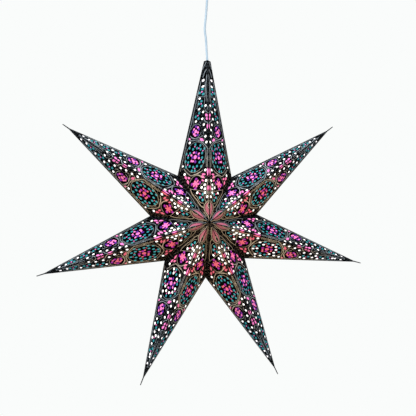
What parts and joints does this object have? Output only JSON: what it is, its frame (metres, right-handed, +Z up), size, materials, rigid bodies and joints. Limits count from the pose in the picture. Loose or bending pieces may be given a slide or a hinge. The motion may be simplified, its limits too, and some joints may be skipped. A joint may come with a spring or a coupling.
{
  "type": "hanging paper star lantern",
  "caption": "Pointed star lantern folded from punched black card with lit windows, hung on a cord below a ceiling rose.",
  "frame": {"origin": "middle of the ceiling rose's top face, where it meets the ceiling", "axes": "+Z up into the ceiling, +Y from the star's front to its back, +X to the right seen from the front"},
  "size_m": [0.5763, 0.146, 0.7567],
  "materials": {
    "printed_card": "thin black card, satin, printed and punched",
    "window_paper": "thin translucent paper, coloured behind the petals, lit from inside",
    "frosted_bulb": "frosted, warm white, lit",
    "brass": "bare",
    "ceramic": "unglazed",
    "white_plastic": "moulded, semi-gloss",
    "cord_sleeve": "smooth pale sleeve",
    "zinc_steel": "zinc plated"
  },
  "bodies": {
    "root": {"point_top": "printed_card", "point_upper_right": "printed_card", "point_right": "printed_card", "point_lower_right": "printed_card", "point_lower_left": "printed_card", "point_left": "printed_card", "point_upper_left": "printed_card", "window_paper_top": "window_paper", "window_paper_upper_right": "window_paper", "window_paper_right": "window_paper", "window_paper_lower_right": "window_paper", "window_paper_lower_left": "window_paper", "window_paper_left": "window_paper", "window_paper_upper_left": "window_paper", "bulb": "frosted_bulb", "screw_shell": "brass", "centre_contact": "brass", "insulator_core": "ceramic", "lampholder_barrel": "white_plastic", "lampholder_cap": "white_plastic", "cord_clamp": "white_plastic", "cord_stop": "white_plastic", "pendant_cord": "cord_sleeve", "rose_cord_grip": "white_plastic", "rose_cup": "white_plastic", "rose_bracket": "zinc_steel", "rose_screws": "zinc_steel", "terminal_block": "white_plastic"}
  },
  "joints": []
}
